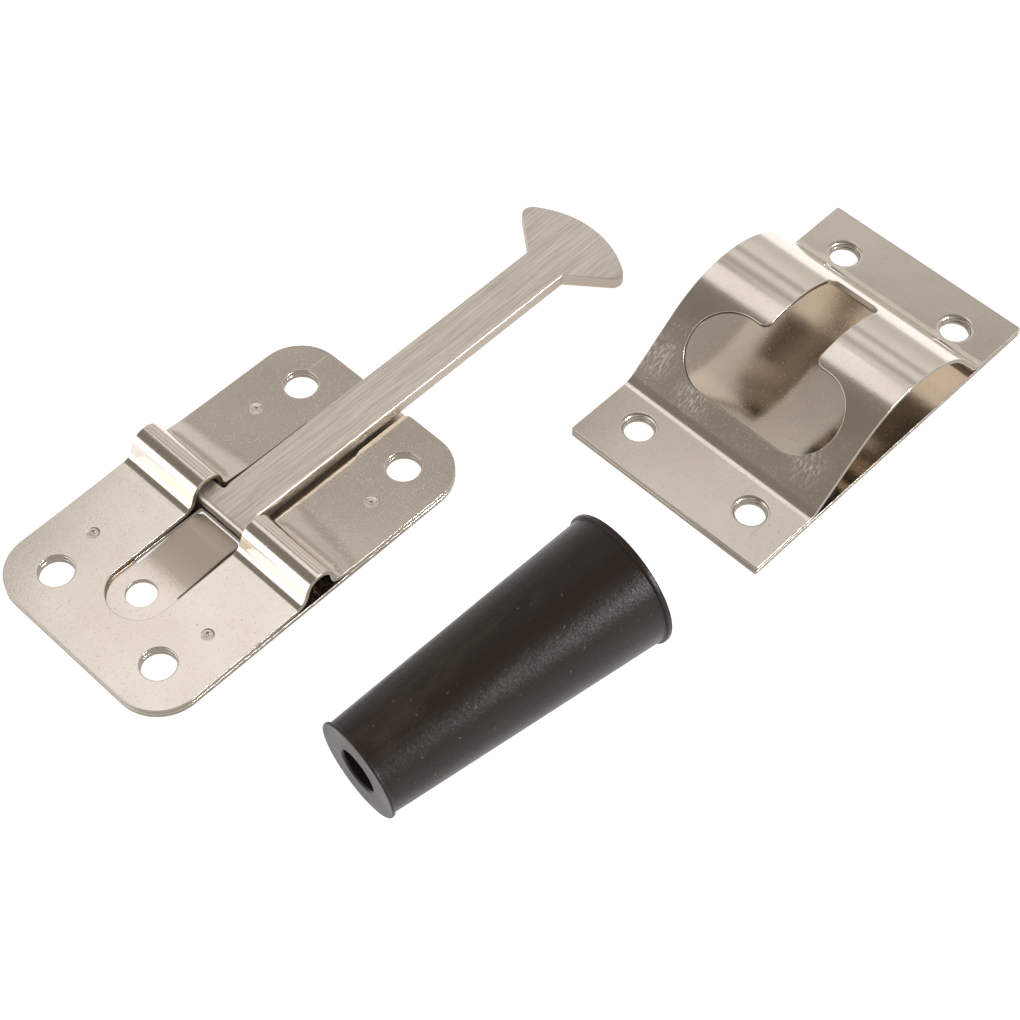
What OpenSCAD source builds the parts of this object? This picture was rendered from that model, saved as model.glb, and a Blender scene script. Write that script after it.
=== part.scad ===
// Door holder: a hinged T-headed arm on a two-sheet plate, the domed catch
// that its head hooks into, and a tapered rubber bumper lying beside them.
// Origin: centre of the arm plate's four screw holes, on its back face.
// X runs along the folded arm to its head, Z points out of the plates.

/* [Sheet metal] */
// Thickness of every stamped sheet
sheet_t = 1; // [0.8:0.05:1.1]
// Radius that the punch leaves on the upper rim of each screw hole
hole_edge_r = 0.5; // [0.2:0.1:0.7]

/* [Arm plate] */
// Length of the arm plate
plate_l = 75.8; // [72:0.2:84]
// Width of the arm plate
plate_w = 46; // [42:0.5:54]
// Corner radius of the arm plate
plate_corner_r = 8.7; // [4:0.1:11]
// Screw hole spacing along the arm plate
plate_hole_dx = 58; // [52:0.5:62]
// Screw hole spacing across the arm plate
plate_hole_dy = 27.2; // [24:0.2:32]
// Radius of the arm plate's four corner screw holes
plate_hole_r = 3.2; // [2.2:0.1:3.6]
// Distance of the middle screw hole from the hinge axis
middle_hole_x = 21.3; // [18:0.1:24]
// Radius of the middle screw hole
middle_hole_r = 2.8; // [2:0.1:3.4]
// Spot weld spacing along the arm plate
weld_dx = 38.6; // [32:0.2:42]
// Spot weld spacing across the arm plate
weld_dy = 30.4; // [26:0.2:34]
// Mouth radius of a spot weld dimple
weld_r = 1.3; // [0.8:0.1:1.8]
// Depth of a spot weld dimple
weld_depth = 0.25; // [0.1:0.05:0.35]

/* [Knuckle and slot] */
// Radius inside the rolled knuckle
knuckle_r = 2.5; // [2.3:0.05:2.9]
// Slope of the knuckle's flared side
knuckle_flare_a = 70; // [60:1:80]
// Slope of the knuckle's steep side
knuckle_steep_a = 85; // [75:1:88]
// Foot radius on the flared side
knuckle_flare_r = 1.5; // [1:0.1:2]
// Foot radius on the steep side
knuckle_steep_r = 1.2; // [0.8:0.1:1.6]
// Distance from the hinge axis to where the slot starts to narrow
slot_step_x = 23; // [18:0.5:28]
// Length of the S-shaped step between the wide and the narrow slot
slot_step_l = 3.5; // [2:0.1:5]
// Radius of the plate's corners where the slot opens at its end
slot_mouth_r = 1.5; // [0.5:0.1:3]

/* [Spring tongue] */
// Width of the spring tongue
tongue_w = 10.6; // [9:0.1:11.5]
// Width of the slit around the spring tongue
tongue_slit = 0.9; // [0.6:0.05:1.2]
// Slope of the tongue from its root to its crest
tongue_up_a = 4.8; // [4.5:0.1:6]
// Slope of the tongue from its crest to its tip
tongue_down_a = 13; // [8:1:20]
// Distance of the tongue's crest from the hinge axis
tongue_crest_x = 6.2; // [5:0.1:8]
// Distance of the tongue's tip from the hinge axis
tongue_tip_x = 2.9; // [2.7:0.1:4]
// Height of the tongue's crest over the sheet it is cut from
tongue_rise = 0.95; // [0.6:0.05:0.98]
// Outer radius of the tongue's crest bend
tongue_bend_r = 7; // [4:0.5:9]
// Radius of the bend at the tongue's root
tongue_foot_r = 5; // [3:0.5:6]
// Corner radius of the tongue's tip
tongue_corner_r = 1.2; // [0.5:0.1:2.5]

/* [Holder arm] */
// Width of the arm's shank
arm_w = 9; // [8:0.1:9.6]
// Thickness of the arm
arm_t = 2.8; // [2.2:0.1:2.9]
// Distance from the hinge axis to the arm's neck
neck_x = 80; // [60:1:110]
// Distance from the hinge axis to the crown of the head
crown_x = 93; // [72:1:124]
// Radius of the crown arc
crown_r = 20; // [17:0.5:30]
// Width over the T head
head_w = 25.3; // [20:0.1:30]
// Corner radius of the T head
head_corner_r = 2; // [1:0.1:2.6]
// Distance from the neck to the centres of the head's corners
head_corner_x = 6.3; // [5:0.1:7.5]
// Rounding that tumbling leaves on the arm's long edges
arm_edge_r = 0.35; // [0.2:0.05:0.6]
// Length over the two ears that turn in the knuckle
ear_span = 31; // [20:1:40]
// Edge radius of the ears and the heel
ear_edge_r = 0.9; // [0.5:0.05:1.2]
// Fillet between an ear and the shank
ear_fillet_r = 0.6; // [0.3:0.1:1]
// Clearance between the turning ears and the knuckle
pivot_clear = 0.17; // [0.1:0.01:0.3]
// Side clearance between the arm and the slot that it lies in
arm_side_clear = 1; // [0.6:0.1:1.5]

/* [Catch] */
// Length of the catch plates
catch_l = 76.2; // [74:0.2:90]
// Width of the catch plates
catch_w = 44.4; // [40:0.2:54]
// Screw hole spacing along the catch
catch_hole_dx = 58.8; // [58:0.2:64]
// Screw hole spacing across the catch
catch_hole_dy = 26.8; // [22:0.2:32]
// Radius of the catch's screw holes
catch_hole_r = 2.8; // [2:0.1:3]
// Distance of the catch's centre from the origin along the arm
catch_x = 94.5; // [90:0.5:120]
// Distance of the catch's centre from the origin across the arm
catch_y = -51.4; // [-80:0.2:-50]

/* [Dome] */
// Height of the dome over the catch's back face
dome_h = 16.6; // [13:0.1:18]
// Outer radius of the dome's crest
dome_r = 22; // [20:0.5:23]
// Offset of the dome's crest from the middle of the catch
dome_x = 2.8; // [1:0.1:3]
// Slope of the entry side
entry_a = 39.5; // [38:0.5:44]
// Slope of the far side
far_a = 52; // [49:1:58]
// Foot radius on the entry side
entry_foot_r = 2; // [1:0.1:3]
// Foot radius on the far side
far_foot_r = 1.2; // [0.8:0.1:2]
// Length of the wide entry hole
entry_l = 34; // [30:0.2:38]
// Width of the wide entry hole, measured along the sheet
entry_w = 16.4; // [14:0.2:18]
// Distance along the sheet from the crest to the middle of the entry hole
entry_s = 16; // [15.8:0.1:18]
// Side clearance of the arm in the narrow holding slot
holding_clear = 1.1; // [0.6:0.1:2]
// Distance along the sheet from the crest to the end of the holding slot
holding_s = 12.5; // [9:0.1:14]
// Corner radius at the end of the holding slot
holding_end_r = 2; // [1:0.1:4]
// Radius of the shoulders between the entry hole and the holding slot
shoulder_r = 1.8; // [1:0.1:2.4]

/* [Bumper] */
// Length of the bumper
bumper_l = 56; // [46:0.5:70]
// Radius of the bumper's base rim
base_rim_r = 12.94; // [12:0.02:16]
// Radius of the bumper's nose rim
nose_rim_r = 9.96; // [8:0.02:11]
// Length of each rim along the bumper
rim_l = 1.3; // [0.8:0.1:2]
// Depth of the tapered body below the base rim
base_step = 0.65; // [0.3:0.05:1.5]
// Depth of the tapered body below the nose rim
nose_step = 1.15; // [0.3:0.05:1.6]
// Radius of the well for the screw and its driver
well_r = 4.03; // [3:0.01:5]
// Rubber left under the screw head
seat_l = 9; // [5:0.5:14]
// Radius of the screw hole through the base
screw_r = 2.4; // [1.5:0.1:2.8]
// Rounding of the well's mouth
well_edge_r = 0.5; // [0.2:0.1:1]
// Place of the nose face's centre along the arm
bumper_x = -22.5; // [-30:0.5:-10]
// Place of the nose face's centre across the arm
bumper_y = -56.2; // [-90:0.2:-50]
// Turn of the bumper away from the arm's direction
bumper_yaw = -6.7; // [-12:0.1:-2]

/* [Hidden] */
$fn = 96;

// Stainless steel, brushed stainless steel and rubber as the eye sees them
bright_steel = [0.78, 0.75, 0.71];
brushed_steel = [0.70, 0.67, 0.63];
black_rubber = [0.20, 0.18, 0.17];

// Cutters run past the faces that they cut by this much
past = 1;
// Facets of the arm's small edge rounding
edge_fn = 12;
// Points along the slot's S-shaped step
step_points = 8;
// Height that every cutter clears, over the dome
tall = dome_h + 2 * past;

// The hinge axis lies where the knuckle's bore touches the back sheet
pivot_z = sheet_t + knuckle_r;
// Half the length of the ears' section, so that its corners clear the bore
ear_reach = knuckle_r - pivot_clear - ear_edge_r;
ear_half = ear_edge_r + sqrt(pow(ear_reach, 2) - pow(arm_t / 2 - ear_edge_r, 2));

// Half widths of the arm plate's slot: wide round the tongue, narrow round the arm
slot_wide = tongue_w / 2 + tongue_slit;
slot_narrow = arm_w / 2 + arm_side_clear;

// Half width of the holding slot, and the angle at its end
holding_half = arm_w / 2 + holding_clear;
holding_end_a = holding_s / dome_r * 180 / PI;
// Distance from the start of the entry side's flat flank to the entry hole's middle
entry_u = entry_s - dome_r * entry_a * PI / 180;

// Curves that blend into a line reach past it by this little, so that they meet it cleanly
lap = 0.001;

// Height of the tongue's crest bend centre, and how far its root lies from the axis
tongue_bend_z = sheet_t + tongue_rise - tongue_bend_r;
tongue_root_x = tongue_crest_x
    + (tongue_bend_r - (tongue_bend_r - tongue_rise) * cos(tongue_up_a)) / sin(tongue_up_a);

// The bumper lies on both rims, so its axis climbs towards the wider one
rim_r = rim_l / 2;
bumper_tilt = atan((base_rim_r - nose_rim_r) / (bumper_l - rim_l));
bumper_z = (nose_rim_r - rim_r) * cos(bumper_tilt) + rim_r - rim_r * sin(bumper_tilt);

// Half width, at height b, of two tangents to a circle of radius r that slope by a
function tangent_x(b, r, a) = (r - b * cos(a)) / sin(a);

// Fills the corner between a flank of slope a and the level b with a radius f
module foot_fill(b, x, a, f) {
    low = b - sheet_t / 2;
    reach = f - lap;
    blend = reach * tan(a / 2);
    difference() {
        polygon([
            [x - blend * cos(a), low],
            [x - blend * cos(a), b + blend * sin(a)],
            [x + blend, b + reach],
            [x + blend, low]
        ]);
        translate([x + blend, b + reach])
            circle(f);
    }
}

// Area under a hump that stands on the level b: a crest of radius r round the
// origin, a flank of slope a1 and a foot radius f1 on the left, a2 and f2 on the right
module hump_fill(b, r, a1, f1, a2, f2) {
    low = b - sheet_t / 2;
    x1 = tangent_x(b, r, a1);
    x2 = tangent_x(b, r, a2);
    polygon([
        [-x1, low],
        [-x1, b],
        (r - lap) * [-sin(a1), cos(a1)],
        (r - lap) * [sin(a2), cos(a2)],
        [x2, b],
        [x2, low]
    ]);
    intersection() {
        circle(r);
        translate([-r, low])
            square([2 * r, r - low + past]);
    }
    mirror([1, 0])
        foot_fill(b, x1, a1, f1);
    foot_fill(b, x2, a2, f2);
}

// Side view of a sheet that lies on the level base from x0 to x1 and rises into one
// hump, whose crest has its centre at [xc, zc] and the outer radius r: what is left
// between the space over the sheet and the hollow under it
module humped_sheet(x0, x1, base, xc, zc, r, a1, f1, a2, f2) {
    crest = zc + r - base;
    difference() {
        translate([x0, base])
            square([x1 - x0, crest + past]);
        difference() {
            translate([x0 - past, base + sheet_t])
                square([x1 - x0 + 2 * past, crest + past]);
            translate([xc, zc])
                hump_fill(base + sheet_t - zc, r, a1, f1, a2, f2);
        }
        translate([xc, zc])
            hump_fill(base - zc, r - sheet_t, a1, f1 + sheet_t, a2, f2 + sheet_t);
    }
}

// Stands a side view up and carries it across the width
module across(width) {
    rotate([90, 0, 0])
        linear_extrude(height = width, center = true)
            children();
}

// Carries a plan outline through the whole height of the part
module through() {
    translate([0, 0, -past])
        linear_extrude(height = tall + past)
            children();
}

// Puts a copy at each of four corners
module at_corners(dx, dy) {
    for (sx = [-1, 1], sy = [-1, 1])
        translate([sx * dx / 2, sy * dy / 2, 0])
            children();
}

// Puts a copy on each side of the XZ plane
module both_sides() {
    for (side = [0, 1])
        mirror([0, side, 0])
            children();
}

module rounded_rectangle(l, w, r) {
    square([l, w - 2 * r], center = true);
    square([l - 2 * r, w], center = true);
    at_corners(l - 2 * r, w - 2 * r)
        circle(r);
}

// What rounding takes off a square corner that fills +X +Y from the origin,
// and fills in where two openings leave such a corner standing
module corner_round(r) {
    reach = r - lap;
    difference() {
        translate([-reach, -reach])
            square(2 * reach);
        translate([reach, reach])
            circle(r);
    }
}

// Punched hole through both sheets, with a rounded upper rim
module punched_hole(r) {
    top = 2 * sheet_t;
    rotate_extrude() {
        translate([0, -past])
            square([r, top + 2 * past]);
        difference() {
            translate([0, top - hole_edge_r])
                square([r + hole_edge_r, hole_edge_r + past]);
            translate([r + hole_edge_r, top - hole_edge_r])
                circle(hole_edge_r);
        }
    }
}

module plate_outline() {
    rounded_rectangle(plate_l, plate_w, plate_corner_r);
}

// Screw holes of the arm plate's sheets
module plate_holes() {
    at_corners(plate_hole_dx, plate_hole_dy)
        punched_hole(plate_hole_r);
}

// Plan of the front sheet's slot: round at the middle hole, open at the far end,
// with an S-shaped step from its wide to its narrow stretch
module slot_outline() {
    drop = slot_wide - slot_narrow;
    edge = concat(
        [[-middle_hole_x, slot_wide]],
        [for (i = [0:step_points])
            [slot_step_x + slot_step_l * i / step_points,
             slot_wide - drop * (1 - cos(180 * i / step_points)) / 2]],
        [[plate_l / 2 + past, slot_narrow]]
    );
    polygon(concat(edge, [for (i = [len(edge) - 1:-1:0]) [edge[i].x, -edge[i].y]]));
    translate([-middle_hole_x, 0])
        circle(slot_wide);
    both_sides()
        translate([plate_l / 2, slot_narrow])
            mirror([1, 0])
                corner_round(slot_mouth_r);
}

module weld_dimple() {
    r = (pow(weld_r, 2) + pow(weld_depth, 2)) / (2 * weld_depth);
    translate([0, 0, 2 * sheet_t - weld_depth + r])
        sphere(r);
}

// Cover sheet of the arm plate, rolled up into the knuckle and split by the slot
module front_plate() {
    color(bright_steel)
        difference() {
            intersection() {
                across(plate_w)
                    humped_sheet(-plate_l / 2, plate_l / 2, sheet_t, 0, pivot_z,
                        knuckle_r + sheet_t, knuckle_flare_a, knuckle_flare_r,
                        knuckle_steep_a, knuckle_steep_r);
                through()
                    plate_outline();
            }
            through()
                slot_outline();
            plate_holes();
            at_corners(weld_dx, weld_dy)
                weld_dimple();
        }
}

// Plan of the opening around the tongue, from its root to the slit at its tip
module tongue_window() {
    translate([-tongue_root_x, -slot_wide])
        square([tongue_root_x - tongue_tip_x + tongue_slit, 2 * slot_wide]);
}

module tongue_outline() {
    root_l = tongue_root_x + past;
    difference() {
        translate([-root_l, -tongue_w / 2])
            square([root_l - tongue_tip_x, tongue_w]);
        both_sides()
            translate([-tongue_tip_x, tongue_w / 2])
                rotate(180)
                    corner_round(tongue_corner_r);
    }
}

// Back sheet of the arm plate, with the spring tongue that bears on the arm's heel
module back_plate() {
    color(bright_steel)
        difference() {
            union() {
                difference() {
                    linear_extrude(height = sheet_t)
                        plate_outline();
                    through()
                        tongue_window();
                }
                intersection() {
                    across(tongue_w)
                        humped_sheet(-tongue_root_x - past, past, 0, -tongue_crest_x,
                            tongue_bend_z, tongue_bend_r, tongue_up_a, tongue_foot_r,
                            tongue_down_a, tongue_foot_r);
                    through()
                        tongue_outline();
                }
            }
            plate_holes();
            translate([-middle_hole_x, 0, 0])
                through()
                    circle(middle_hole_r);
        }
}

// Section of the arm: a bar of the given width with small rounded edges
module arm_section(width) {
    square([width - 2 * arm_edge_r, arm_t], center = true);
    square([width, arm_t - 2 * arm_edge_r], center = true);
    at_corners(width - 2 * arm_edge_r, arm_t - 2 * arm_edge_r)
        circle(arm_edge_r, $fn = edge_fn);
}

// Carries a section given in Y and Z along X
module along(x0, x1) {
    translate([x0, 0, 0])
        rotate([90, 0, 90])
            linear_extrude(height = x1 - x0)
                children();
}

// Disc or part of a ring with the arm's thickness and rounded outer edge
module edged_disc(r, r_in = 0, half_a = 180) {
    rotate_extrude(angle = 2 * half_a, start = -half_a)
        intersection() {
            arm_section(2 * r);
            translate([r_in, -arm_t])
                square([r, 2 * arm_t]);
        }
}

// T head: one convex form over the neck, two corners and the crown arc
module arm_head() {
    corner_y = head_w / 2 - head_corner_r;
    crown_half_a = asin((corner_y - past) / crown_r);
    hull() {
        along(neck_x, neck_x + past)
            arm_section(arm_w);
        both_sides()
            translate([neck_x + head_corner_x, corner_y, 0])
                edged_disc(head_corner_r, $fn = 48);
        translate([crown_x - crown_r, 0, 0])
            edged_disc(crown_r, crown_r - 2 * arm_edge_r, crown_half_a, $fn = 144);
    }
}

// Stamped arm: two ears on the hinge axis, a flat shank and the T head
module holder_arm() {
    color(brushed_steel)
        translate([0, 0, pivot_z]) {
            across(ear_span)
                rounded_rectangle(2 * ear_half, arm_t, ear_edge_r);
            along(0, neck_x)
                arm_section(arm_w);
            both_sides()
                translate([ear_half, arm_w / 2, 0])
                    linear_extrude(height = arm_t - 2 * arm_edge_r, center = true)
                        corner_round(ear_fillet_r);
            arm_head();
        }
}

// Turns a cutter so that it stands square on the dome, a degrees off its crest
module on_dome(a) {
    translate([dome_x, 0, dome_h - dome_r])
        rotate([0, a, 0])
            linear_extrude(height = dome_r + past)
                children();
}

// Entry hole, laid out on the flat flank, with the shoulders towards the holding slot
module entry_outline() {
    edge = entry_w / 2 - entry_u;
    round_y = (entry_l - entry_w) / 2;
    translate([-entry_u, 0]) {
        square([entry_w, 2 * round_y], center = true);
        both_sides()
            translate([0, round_y])
                circle(entry_w / 2);
    }
    both_sides()
        translate([edge, holding_half])
            corner_round(shoulder_r);
}

// Holding slot: a fan from the dome's centre, whose rounded end stands square on the crest
module holding_slot() {
    difference() {
        translate([dome_x, 0, dome_h - dome_r])
            across(2 * holding_half)
                polygon([
                    [0, 0],
                    2 * dome_r * [-sin(entry_a), cos(entry_a)],
                    2 * dome_r * [sin(holding_end_a), cos(holding_end_a)]
                ]);
        on_dome(holding_end_a)
            both_sides()
                translate([0, holding_half])
                    rotate(180)
                        corner_round(holding_end_r);
    }
}

// Domed cover of the catch, with the keyhole that takes the arm's head
module catch_cover() {
    color(bright_steel)
        translate([catch_x, catch_y, 0])
            difference() {
                difference() {
                    across(catch_w)
                        humped_sheet(-catch_l / 2, catch_l / 2, sheet_t, dome_x, dome_h - dome_r,
                            dome_r, entry_a, entry_foot_r, far_a, far_foot_r);
                    on_dome(-entry_a)
                        entry_outline();
                    at_corners(catch_hole_dx, catch_hole_dy)
                        punched_hole(catch_hole_r);
                }
                holding_slot();
            }
}

// Plain back sheet of the catch
module catch_back() {
    color(bright_steel)
        translate([catch_x, catch_y, 0])
            difference() {
                linear_extrude(height = sheet_t)
                    square([catch_l, catch_w], center = true);
                at_corners(catch_hole_dx, catch_hole_dy)
                    punched_hole(catch_hole_r);
            }
}

// Half section of the bumper, from its nose face at zero to its base
module bumper_section() {
    difference() {
        union() {
            square([nose_rim_r - rim_r, rim_l]);
            translate([nose_rim_r - rim_r, rim_r])
                circle(rim_r);
            polygon([
                [0, rim_r],
                [nose_rim_r - nose_step, rim_r],
                [base_rim_r - base_step, bumper_l - rim_r],
                [0, bumper_l - rim_r]
            ]);
            translate([0, bumper_l - rim_l])
                square([base_rim_r - rim_r, rim_l]);
            translate([base_rim_r - rim_r, bumper_l - rim_r])
                circle(rim_r);
        }
        translate([0, -past])
            square([screw_r, bumper_l + 2 * past]);
        translate([0, -past])
            square([well_r, bumper_l - seat_l + past]);
        difference() {
            translate([0, -past])
                square([well_r + well_edge_r, well_edge_r + past]);
            translate([well_r + well_edge_r, well_edge_r])
                circle(well_edge_r);
        }
    }
}

// Tapered rubber bumper, lying on its two rims
module rubber_bumper() {
    color(black_rubber)
        translate([bumper_x, bumper_y, bumper_z])
            rotate([0, 0, bumper_yaw])
                rotate([0, 90 - bumper_tilt, 0])
                    rotate_extrude()
                        bumper_section();
}

front_plate();
back_plate();
holder_arm();
catch_cover();
catch_back();
rubber_bumper();
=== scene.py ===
"""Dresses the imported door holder: bent stainless sheets, a brushed arm and a moulded rubber bumper.

Every piece is one surface worked out with numpy. Sizes are in millimetres in the row frame and are
turned to metres when a mesh is made.
"""

import logging
import math
from collections.abc import Callable
from dataclasses import dataclass
from enum import Enum
from functools import partial
from typing import Any, NamedTuple

import bpy
import numpy as np
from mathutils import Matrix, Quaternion, Vector
from mathutils.geometry import delaunay_2d_cdt


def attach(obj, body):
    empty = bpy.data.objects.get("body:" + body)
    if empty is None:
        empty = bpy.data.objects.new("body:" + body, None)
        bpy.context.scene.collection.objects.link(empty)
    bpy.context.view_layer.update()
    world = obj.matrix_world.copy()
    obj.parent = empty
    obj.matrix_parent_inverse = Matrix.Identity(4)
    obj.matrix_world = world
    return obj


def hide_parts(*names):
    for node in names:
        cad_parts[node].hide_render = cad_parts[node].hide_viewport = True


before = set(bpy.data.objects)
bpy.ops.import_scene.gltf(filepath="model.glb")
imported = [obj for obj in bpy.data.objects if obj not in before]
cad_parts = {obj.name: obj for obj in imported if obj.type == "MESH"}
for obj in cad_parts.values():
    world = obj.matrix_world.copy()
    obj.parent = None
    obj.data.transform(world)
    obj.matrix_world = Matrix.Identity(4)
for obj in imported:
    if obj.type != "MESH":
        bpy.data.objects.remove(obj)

LOG = logging.getLogger("door_holder")
MM = 0.001
Array = np.ndarray
Piece = bpy.types.Object
Tones = tuple[tuple[float, str], ...]


def linear(code: str) -> tuple[float, float, float, float]:
    """Turns an sRGB hex colour to a linear one.

    Args:
        code: six hex digits after a hash sign.

    Returns:
        Red, green, blue and an alpha of one.
    """
    v = np.array([int(code[i : i + 2], 16) for i in (1, 3, 5)]) / 255
    v = np.where(v <= 0.04045, v / 12.92, ((v + 0.055) / 1.055) ** 2.4)
    return (float(v[0]), float(v[1]), float(v[2]), 1.0)


def add_node(tree: bpy.types.NodeTree, kind: str, **settings: Any) -> Any:
    """Adds one node, sets its properties and fills or links its inputs.

    Args:
        tree: the node tree that it goes into.
        kind: the node's Blender type name without its prefix.
        settings: a value for each small-letter property; for each input, named with a capital and _ for a space,
            or iN for input N, a value, an output socket, or a node that gives its first output.

    Returns:
        The new node.
    """
    node = tree.nodes.new("ShaderNode" + kind)
    for key, value in settings.items():
        numbered = key[0] == "i" and key[1:].isdigit()
        if not numbered and not key[0].isupper():
            setattr(node, key, value)
            continue
        socket = node.inputs[int(key[1:]) if numbered else key.replace("_", " ")]
        if isinstance(value, bpy.types.Node):
            value = value.outputs[0]
        if isinstance(value, bpy.types.NodeSocket):
            tree.links.new(value, socket)
        else:
            socket.default_value = value
    return node


def blank_material(name: str) -> tuple[bpy.types.Material, Callable[..., Any]]:
    """A material with no nodes, and add_node for its tree."""
    m = bpy.data.materials.new(name)
    m.use_nodes = True
    m.node_tree.nodes.clear()
    return m, partial(add_node, m.node_tree)


def per_mm(*sizes: float) -> tuple[float, ...]:
    """A pattern's scale from its real sizes in mm."""
    return tuple(1 / (v * MM) for v in sizes)


# ---- outlines ----------------------------------


class Corner(NamedTuple):
    """One corner of an outline: its place and the radius that rounds it, in mm."""

    x: float
    y: float
    radius: float


@dataclass(frozen=True)
class Loop:
    """A closed line with its normals, which point away from the metal."""

    points: Array
    normals: Array


def rounded_loop(corners: list[Corner], spacing: float = 1.0, arc_step: float = 6.0) -> Loop:
    """Walks round a polygon whose corners are rounded.

    A corner turns the heading by the angle a between its two sides. Its arc starts r tan(a/2) before the
    corner, and a point on it is the arc's centre plus r times the heading turned a right angle. The normal is
    the heading turned clockwise, so an outer line runs anticlockwise and a hole's line runs clockwise.

    Args:
        corners: the polygon's corners in order.
        spacing: the longest straight step between two points, mm.
        arc_step: the largest turn between two points on an arc, degrees.

    Returns:
        The closed line.
    """
    xy = np.array([(c.x, c.y) for c in corners], float)
    radius = np.array([c.radius for c in corners])
    into = xy - np.roll(xy, 1, axis=0)
    into /= np.linalg.norm(into, axis=1)[:, None]
    heading = np.arctan2(into[:, 1], into[:, 0])
    turn = (np.roll(heading, -1) - heading + math.pi) % (2 * math.pi) - math.pi
    points, headings = [], []
    for p, h, a, r in zip(xy, heading, turn, radius):
        steps = max(2, math.ceil(abs(math.degrees(a)) / arc_step))
        t = h + a * np.linspace(0, 1, steps + 1)
        side = math.copysign(r, a)
        start = p - r * math.tan(abs(a) / 2) * np.array([math.cos(h), math.sin(h)])
        centre = start + side * np.array([-math.sin(h), math.cos(h)])
        points.append(centre + side * np.stack([np.sin(t), -np.cos(t)], 1))
        headings.append(t)
    line, angle = np.concatenate(points), np.concatenate(headings)
    after = np.roll(line, -1, axis=0)
    count = np.maximum(1, np.ceil(np.linalg.norm(after - line, axis=1) / spacing)).astype(int)
    index = np.repeat(np.arange(len(line)), count)
    part = (np.arange(len(index)) - np.repeat(np.cumsum(count) - count, count)) / count[index]
    bend = (np.roll(angle, -1) - angle + math.pi) % (2 * math.pi) - math.pi
    angle = angle[index] + bend[index] * part
    line = line[index] + (after[index] - line[index]) * part[:, None]
    return Loop(line, np.stack([np.sin(angle), -np.cos(angle)], 1))


def mirrored(half: list[Corner], middle: float = 0.0) -> list[Corner]:
    """Goes on from half an outline with its mirror image across y = middle."""
    return half + [Corner(c.x, 2 * middle - c.y, c.radius) for c in half[::-1]]


def round_hole(x: float, y: float, radius: float, count: int = 56) -> Loop:
    """Circle run clockwise, whose normals point at its centre."""
    t = -2 * math.pi * np.arange(count) / count
    ray = np.stack([np.cos(t), np.sin(t)], 1)
    return Loop(np.array([x, y]) + radius * ray, -ray)


# ---- bends -------------------------------------


@dataclass(frozen=True)
class Bend:
    """Side view of a sheet's middle: straight runs and arcs joined end to end.

    Attributes:
        x: where it starts, mm. Lengths along the sheet are counted from here, so they equal x on the first run.
        z: its height there, mm.
        runs: length in mm and turn in radians of each run.
    """

    x: float
    z: float
    runs: tuple[tuple[float, float], ...]

    def at(self, s: Array) -> tuple[Array, Array, Array]:
        """Point and heading at a length along the sheet.

        On a run of curvature k the chord of an arc d long is d sin(kd/2)/(kd/2) and points half the turn on.

        Args:
            s: lengths along the sheet, mm.

        Returns:
            x, z and heading.
        """
        length, turn = np.array(self.runs).T
        start = np.concatenate([[0], np.cumsum(length)[:-1]])
        head = np.concatenate([[0], np.cumsum(turn)[:-1]])
        chord = length * np.sinc(turn / 2 / math.pi)
        x0 = self.x + np.concatenate([[0], np.cumsum(chord * np.cos(head + turn / 2))[:-1]])
        z0 = self.z + np.concatenate([[0], np.cumsum(chord * np.sin(head + turn / 2))[:-1]])
        i = np.clip(np.searchsorted(start, s - self.x, side="right") - 1, 0, len(start) - 1)
        d = s - self.x - start[i]
        k = turn[i] / length[i]
        chord = d * np.sinc(k * d / 2 / math.pi)
        half = head[i] + k * d / 2
        return x0[i] + chord * np.cos(half), z0[i] + chord * np.sin(half), head[i] + k * d

    def length_at(self, x: float) -> float:
        """Length along the sheet at which it reaches x."""
        s = np.linspace(self.x, self.x + sum(r[0] for r in self.runs), 8001)
        return float(np.interp(x, self.at(s)[0], s))

    def starts(self) -> Array:
        """Lengths along the sheet at which its runs start and end."""
        return self.x + np.concatenate([[0], np.cumsum([r[0] for r in self.runs])])


@dataclass(frozen=True)
class Hump:
    """A crest arc between two straight flanks that rise out of a level sheet, in sizes of the sheet's middle, mm.

    Attributes:
        x: crest centre.
        z: crest centre's height.
        level: height of the level sheet.
        radius: crest radius.
        slopes: slope of the first and the second flank, degrees.
        feet: radius of the bend at the foot of each flank.
    """

    x: float
    z: float
    level: float
    radius: float
    slopes: tuple[float, float]
    feet: tuple[float, float]

    def bend(self, x0: float, x1: float) -> Bend:
        """Side view of a sheet from x0 to x1 with this hump in it.

        A flank of slope a touches the crest circle r and meets the level b at (r - b cos a)/sin a from the middle;
        the foot bend f takes f tan(a/2) off both sides of that corner.

        Args:
            x0: start of the sheet.
            x1: end of the sheet.

        Returns:
            The side view.
        """
        b = self.level - self.z
        a = np.radians(self.slopes)
        foot = np.array(self.feet)
        half = (self.radius - b * np.cos(a)) / np.sin(a)
        cut = foot * np.tan(a / 2)
        flank = np.sqrt(half**2 + b**2 - self.radius**2) - cut
        return Bend(
            x0,
            self.level,
            (
                (self.x - half[0] - cut[0] - x0, 0.0),
                (foot[0] * a[0], a[0]),
                (flank[0], 0.0),
                (self.radius * a[0], -a[0]),
                (self.radius * a[1], -a[1]),
                (flank[1], 0.0),
                (foot[1] * a[1], a[1]),
                (x1 - self.x - half[1] - cut[1], 0.0),
            ),
        )


# ---- sheets ------------------------------------


@dataclass(frozen=True)
class Cut:
    """A cut edge of a sheet and the rounding that punching or tumbling leaves on it, in mm."""

    line: Loop
    upper: float | Array = 0.12
    lower: float | Array = 0.12


EDGE = 0.16  # rounding of a sheet's free edges, mm
SEAM = 0.22  # rounding of the edges where two sheets lie together
BACK = 0.1  # rounding of a hole's lower rim

Fold = Callable[[Array, Array], tuple[Array, Array, Array]]
Relief = Callable[[Array, Array], tuple[Array, Array, Array]]


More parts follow.
